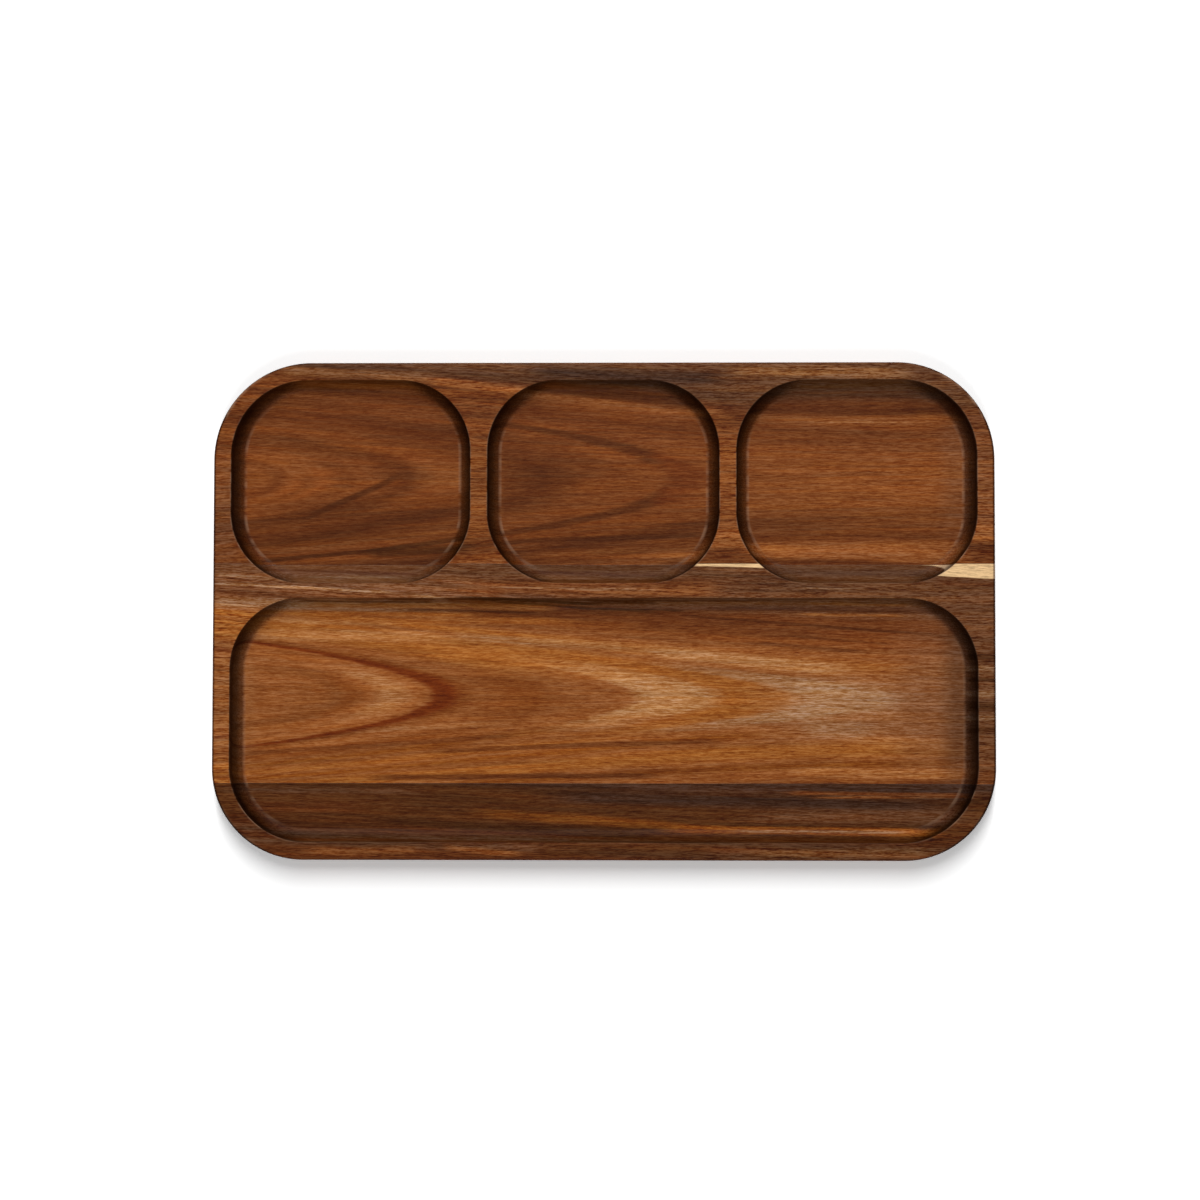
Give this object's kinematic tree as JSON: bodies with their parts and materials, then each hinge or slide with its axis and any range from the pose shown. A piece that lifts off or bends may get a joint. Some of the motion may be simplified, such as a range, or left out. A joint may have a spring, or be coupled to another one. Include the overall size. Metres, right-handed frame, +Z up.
{
  "type": "compartment serving tray",
  "caption": "Rectangular solid-wood serving tray with round corners, a row of small routed compartments behind one long compartment, glued up from wide staves.",
  "frame": {"origin": "middle of the underside, on the plane that the tray rests on", "axes": "+X along the tray and its grain, +Y towards the rear rim behind the small compartments, +Z up out of the compartments"},
  "size_m": [0.38, 0.242, 0.018],
  "materials": {
    "rear_wood": "oiled reddish-brown acacia with cathedral grain",
    "middle_wood": "oiled orange-tan acacia with cathedral grain and a strip of cream sapwood",
    "front_wood": "oiled dark brown acacia heartwood, straight grained",
    "glue": "cured brown wood glue"
  },
  "bodies": {
    "root": {"rear_stave": "rear_wood", "middle_stave": "middle_wood", "front_stave": "front_wood", "rear_glue_line": "glue", "front_glue_line": "glue"}
  },
  "joints": []
}
